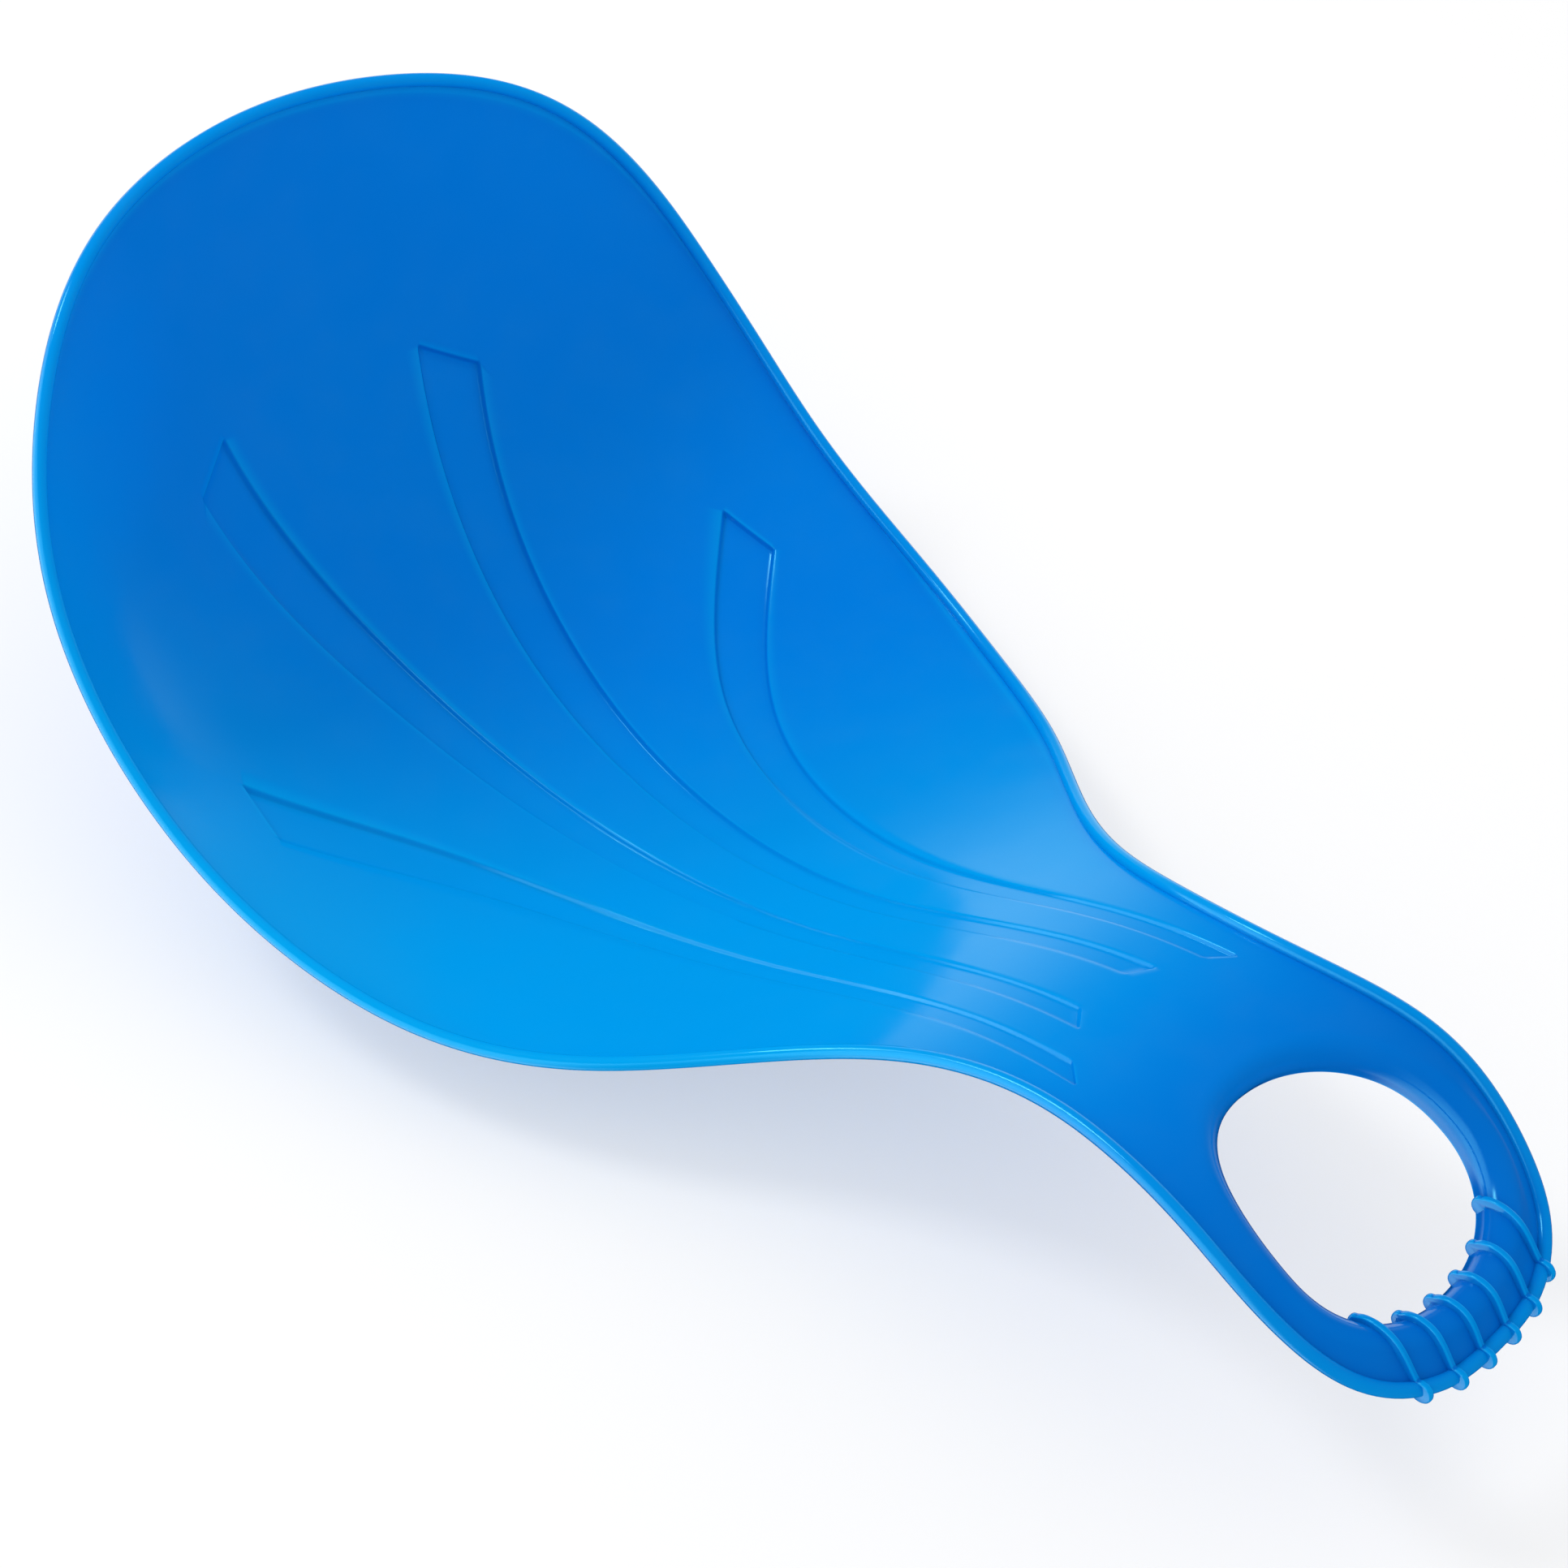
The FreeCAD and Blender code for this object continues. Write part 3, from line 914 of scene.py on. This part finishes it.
    def press_channels(self, seat: Piece, top_count: int) -> None:
        """Move both faces of the wall down in the channels, so that they stand out below as runners.

        The upper face moves less towards the neck, where the channels are shallow.

        Args:
            seat: The moulding with its wall.
            top_count: How many of its vertices, counted from the first, lie on the upper face.
        """
        layer = seat.data.attributes[PRESS]
        moves = np.empty(len(seat.data.vertices) * 3)
        layer.data.foreach_get("vector", moves)
        moves = moves.reshape(-1, 3)
        places = Bench.places(seat)
        share = np.interp(places[:top_count, 0], np.array(self.top_span) * MM, self.top_share)
        moves[:top_count] *= share[:, None]
        Bench.put(seat, places + moves)
        seat.data.attributes.remove(layer)


@dataclass
class RimBead:
    """The round bead that thickens the sled's edge all the way round, in millimetres."""

    form: MouldForm
    radius: float = 2.5
    length_cells: int = 520
    round_cells: int = 20
    smooth_angle: float = 40.0

    def build(self) -> Piece:
        """Roll a grid into a tube along the rim.

        Returns:
            The bead's object.
        """
        form = self.form
        marks = np.linspace(0, form.rim.marks[-1], self.length_cells + 1)
        plan = form.rim.at(marks)
        x, y = plan.T
        path = np.column_stack([plan, form.height(x, y)]) + form.normals(x, y) * form.bead_raise
        ring = np.concatenate([path[-2:-1], path, path[1:2]])
        along = ring[2:] - ring[:-2]
        along /= np.linalg.norm(along, axis=1)[:, None]
        side = np.cross(along, (0.0, 0.0, 1.0))
        side /= np.linalg.norm(side, axis=1)[:, None]
        up = np.cross(side, along)
        angles = np.linspace(0, 2 * math.pi, self.round_cells + 1)[None, :, None]
        table = path[:, None] + (side[:, None] * np.cos(angles) + up[:, None] * np.sin(angles)) * self.radius
        bead = Bench.grid("rim_bead", form.lay_table(table))
        Bench.weld(bead)
        Bench.smooth(bead, self.smooth_angle)
        return bead


@dataclass
class GripRib:
    """One rib over the grip: a thin fin with rounded edges and a round knob at either end, in millimetres."""

    form: MouldForm
    number: int
    offset: float
    thickness: float = 2.2
    lift: float = 0.8
    half_height: float = 1.7
    rim_knob: float = 4.1
    rim_reach: float = 0.8
    hole_knob: float = 3.2
    edge_round: float = 0.7
    edge_segments: int = 3
    edge_angle: float = 60.0
    web_share: float = 0.4
    spine_steps: tuple = (0.3, 0.4, 0.5, 0.6, 0.7, 0.8, 0.9)
    spot_rounds: int = 4
    end_share: float = 1e-4
    side_cells: int = 90
    cap_cells: int = 12
    smooth_angle: float = 50.0

    def build(self) -> Piece:
        """Outline the rib in its plane, extrude it to its thickness and round its edges.

        Returns:
            The rib's object.
        """
        outline = self.outline()
        Bench.clear()
        bpy.ops.mesh.primitive_circle_add(vertices=len(outline), fill_type="NGON")
        rib = Bench.named(f"grip_rib_{self.number}_piece")
        side = np.full(len(outline), self.offset - self.thickness / 2)
        Bench.put(rib, self.form.lay_down(np.column_stack([outline[:, 0], side, outline[:, 1]])))
        push = {"TRANSFORM_OT_translate": {"value": (0.0, self.thickness * MM, 0.0)}}
        Bench.edit(rib, (bpy.ops.mesh.extrude_region_move, push),
                   (bpy.ops.mesh.select_all, {"action": "SELECT"}),
                   (bpy.ops.mesh.normals_make_consistent, {"inside": False}))
        Bench.finish(rib, Finishing.ROUNDING, width=self.edge_round * MM, segments=self.edge_segments,
                     limit_method="ANGLE", angle_limit=math.radians(self.edge_angle), use_clamp_overlap=False)
        Bench.smooth(rib, self.smooth_angle)
        return rib

    def surface_spot(self, step: float, lift: float) -> tuple:
        """A place over the loop's face in the rib's plane.

        Args:
            step: 0 at the rim to 1 inside the hole.
            lift: Height above the face.

        Returns:
            The place along the sled and its height.
        """
        form = self.form
        angle = math.asin(self.offset / form.loop.grip_length)
        for _ in range(self.spot_rounds):
            start, centre, lean, _lip = form.roll_section(angle)
            if step <= self.web_share:
                foot = form.roll_spot(centre, lean)
                spot = [a + (b - a) * step / self.web_share for a, b in zip(start, foot)]
            else:
                lean += (math.pi - lean) * (step - self.web_share) / (1 - self.web_share)
                spot = form.roll_spot(centre, lean)
            angle = math.asin(self.offset / spot[0])
        radius = spot[0] + lift * math.cos(lean)
        return form.loop_centre + math.sqrt(radius ** 2 - self.offset ** 2), spot[1] + lift * math.sin(lean)

    def outline(self) -> Array:
        """The rib's outline in its plane: a band along its spine, wider at the knobs and round at the ends.

        Returns:
            The outline's points: place along the sled and height.
        """
        rim_x, rim_z = self.surface_spot(0.0, 0.0)
        knob = (rim_x + self.rim_reach, rim_z + self.form.bead_raise)
        spine = SmoothLine([knob, *(self.surface_spot(s, self.lift) for s in self.spine_steps),
                            self.surface_spot(1.0, 0.0)])
        length = spine.marks[-1]
        marks = np.linspace(0, length, self.side_cells)
        ways = spine.heading(np.clip(marks, length * self.end_share, length * (1 - self.end_share)))
        sides = np.stack([-ways[:, 1], ways[:, 0]], axis=1)
        half = np.full(len(marks), self.half_height)
        for radius, gone in ((self.rim_knob, marks), (self.hole_knob, length - marks)):
            half = np.maximum(half, np.sqrt(np.maximum(radius ** 2 - gone ** 2, 0.0)))
        middle = spine.at(marks)
        upper, lower = middle + sides * half[:, None], middle - sides * half[:, None]
        turns = np.linspace(0, math.pi, self.cap_cells + 1)[1:-1, None]
        end_cap = middle[-1] + (sides[-1] * np.cos(turns) + ways[-1] * np.sin(turns)) * half[-1]
        rim_cap = middle[0] - (sides[0] * np.cos(turns) + ways[0] * np.sin(turns)) * half[0]
        return np.concatenate([upper, end_cap, lower[::-1], rim_cap])


@dataclass(frozen=True)
class PaleFloor:
    """Matt pale floor that keeps the sled's shadow and is lifted towards white for the camera alone."""

    name: str = "pale_floor"
    colour: tuple = (0.98, 0.98, 0.98)
    roughness: float = 0.9
    gloss_level: float = 0.1
    white_share: float = 0.45

    def build(self) -> bpy.types.Material:
        """Make the material.

        Returns:
            The node-based material.
        """
        material = bpy.data.materials.new(self.name)
        material.use_nodes = True
        board = NodeBoard(material.node_tree)
        matt = board.nodes["Principled BSDF"]
        board.feed(matt, {"Base Color": self.colour, "Roughness": self.roughness,
                          "Specular IOR Level": self.gloss_level})
        camera = board.add("LightPath", {}).outputs["Is Camera Ray"]
        white = board.add("Emission", {}).outputs["Emission"]
        seen = board.pick(board.total(Sum.TIMES, camera, self.white_share), matt.outputs["BSDF"], white)
        board.feed(board.nodes["Material Output"], {"Surface": seen})
        return material


@dataclass(frozen=True)
class Glow:
    """A bright patch of the room with soft edges, by its level and its fades.

    A fade is an axis and the span of the view's direction on it, over which the patch goes from full to none.
    """

    level: float
    fades: tuple


@dataclass(frozen=True)
class PaleSky:
    """Even pale light from all round, which the camera sees as white.

    Shiny faces see a low window and a tall panel in a dark room in its place.
    """

    name: str = "pale_sky"
    colour: tuple = (1.0, 1.0, 1.0)
    strength: float = 0.9
    glow_colour: tuple = (0.8, 0.8, 0.8)
    window: Glow = Glow(1.4, ((Axis.UP, (-0.05, 0.5)), (Axis.LENGTH, (-0.35, 0.45)),
                              (Axis.UP, (-0.15, -0.5))))
    panel: Glow = Glow(3.5, ((Axis.UP, (0.48, 0.7)), (Axis.LENGTH, (0.1, 0.5)),
                             (Axis.SIDE, (-0.6, -0.3))))

    def build(self) -> bpy.types.World:
        """Make the world.

        Returns:
            The node-based world.
        """
        sky = bpy.data.worlds.new(self.name)
        sky.cycles.sampling_method = "NONE"
        sky.use_nodes = True
        board = NodeBoard(sky.node_tree)
        path = board.add("LightPath", {})
        strength = board.change(path.outputs["Is Camera Ray"], (0.0, 1.0), (self.strength, 1.0), Change.EVEN)
        even = board.nodes["Background"]
        board.feed(even, {"Color": self.colour, "Strength": strength})
        way = board.add("SeparateXYZ", {"Vector": board.add("TexCoord", {}).outputs["Generated"]})
        level = board.total(Sum.PLUS, *(self.shine(board, way, glow) for glow in (self.window, self.panel)))
        room = board.add("Background", {"Color": self.glow_colour, "Strength": level})
        seen = board.pick(path.outputs["Is Glossy Ray"], even.outputs["Background"],
                          room.outputs["Background"])
        board.feed(board.nodes["World Output"], {"Surface": seen})
        return sky

    @staticmethod
    def shine(board: NodeBoard, way: bpy.types.Node, glow: Glow) -> Socket:
        """Brightness of one patch of the room.

        Args:
            board: The sky's nodes.
            way: The node that splits the view's direction.
            glow: The patch.

        Returns:
            Its level along the view's direction.
        """
        fades = [board.change(way.outputs[axis.value], span, (1.0, 0.0)) for axis, span in glow.fades]
        level = fades[0]
        for part in (*fades[1:], glow.level):
            level = board.total(Sum.TIMES, level, part)
        return level


@dataclass
class Studio:
    """Pale floor, soft light and the camera at the photograph's angle.

    The camera's place and directions are given in the mould's frame, in millimetres. The floor and the lamp
    are given in metres.
    """

    form: MouldForm
    image_side: int = 1932
    focal_pixels: float = 3700.0
    sensor: float = 36.0
    camera_spot: tuple = (194.5, -587.3, 946.0)
    camera_right: tuple = (0.6401, 0.6917, 0.3343)
    camera_down: tuple = (0.7451, -0.4529, -0.4895)
    floor_low: tuple = (-5.0, -0.55)
    floor_high: tuple = (0.5, 5.0)
    lamp_name: str = "side_panel"
    lamp_spot: tuple = (-1.7, -1.0, 2.3)
    lamp_side: float = 0.7
    lamp_power: float = 20.0

    def build(self) -> None:
        """Set up the stage."""
        self.floor()
        bpy.context.scene.world = PaleSky().build()
        self.lamp()
        self.camera()
        bpy.context.scene.view_settings.view_transform = "Standard"

    def floor(self) -> None:
        """Lay the floor under the sled, ending just past the picture on the camera's side."""
        Bench.clear()
        bpy.ops.mesh.primitive_plane_add(size=2.0)
        ground = Bench.named("studio_floor")
        low, high = (np.array([*corner, 0.0]) for corner in (self.floor_low, self.floor_high))
        Bench.put(ground, (low + high) / 2 + Bench.places(ground) * (high - low) / 2)
        ground.data.materials.append(PaleFloor().build())
        ground.visible_glossy = False

    def lamp(self) -> None:
        """Hang a square soft light to one side, aimed at the seat."""
        light = bpy.data.lights.new(self.lamp_name, "AREA")
        light.size = self.lamp_side
        light.energy = self.lamp_power
        holder = bpy.data.objects.new(self.lamp_name, light)
        holder.location = self.lamp_spot
        holder.rotation_euler = Vector(self.lamp_spot).to_track_quat("Z", "Y").to_euler()
        bpy.context.scene.collection.objects.link(holder)

    def camera(self) -> None:
        """Place the camera where the photograph was taken from."""
        lens = bpy.data.cameras.new("photo_camera")
        lens.sensor_width = self.sensor
        lens.lens = self.focal_pixels / self.image_side * self.sensor
        holder = bpy.data.objects.new("photo_camera", lens)
        right = self.form.lay_way(self.camera_right).normalized()
        up = -self.form.lay_way(self.camera_down).normalized()
        back = right.cross(up).normalized()
        up = back.cross(right)
        spot = Vector(self.form.lay_down(np.array([self.camera_spot]))[0])
        turn = Matrix((right, up, back)).transposed()
        holder.matrix_world = Matrix.Translation(spot) @ turn.to_4x4()
        bpy.context.scene.collection.objects.link(holder)
        bpy.context.scene.camera = holder


@dataclass
class Sled:
    """The whole sled: the moulding, its bead and the grip ribs, dressed in blue plastic.

    The bead and the ribs get a stronger painted highlight on their edges than the sheet.
    """

    form: MouldForm
    rib_count: int = 6
    rib_pitch: float = 13.3
    sheet_plastic: BluePlastic = BluePlastic()
    # Stronger painted highlight on the edges of the bead and the ribs.
    highlit_edge_plastic: BluePlastic = BluePlastic("blue_plastic_painted_edge_highlight", painted_highlight_share=0.6)

    def build(self) -> None:
        """Build every piece, dress it and say what it stands for."""
        sheet, edge = self.sheet_plastic.build(), self.highlit_edge_plastic.build()
        self.dress(Moulding(self.form).build(), sheet, "seat_pan", "handle_neck", "hand_loop")
        self.dress(RimBead(self.form).build(), edge, "seat_rim_bead", "loop_rim_bead")
        for number in range(1, self.rib_count + 1):
            offset = self.rib_pitch * (number - (self.rib_count + 1) / 2)
            self.dress(GripRib(self.form, number, offset).build(), edge, f"grip_rib_{number}")

    @staticmethod
    def dress(piece: Piece, plastic: bpy.types.Material, *nodes: str) -> None:
        """Give a piece its finish and tie it to the frame.

        Args:
            piece: The finished piece.
            plastic: Its material.
            nodes: The frame's nodes that it stands for.
        """
        piece.data.materials.clear()
        piece.data.materials.append(plastic)
        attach(piece, BODY)
        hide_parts(*nodes)
        log.info("%s: %d faces for %s", piece.name, len(piece.data.polygons), ", ".join(nodes))


def main() -> None:
    """Build the sled and its stage."""
    logging.basicConfig(level=logging.INFO, format="%(name)s %(message)s")
    form = MouldForm()
    Sled(form).build()
    Studio(form).build()


if __name__ == "__main__":
    main()
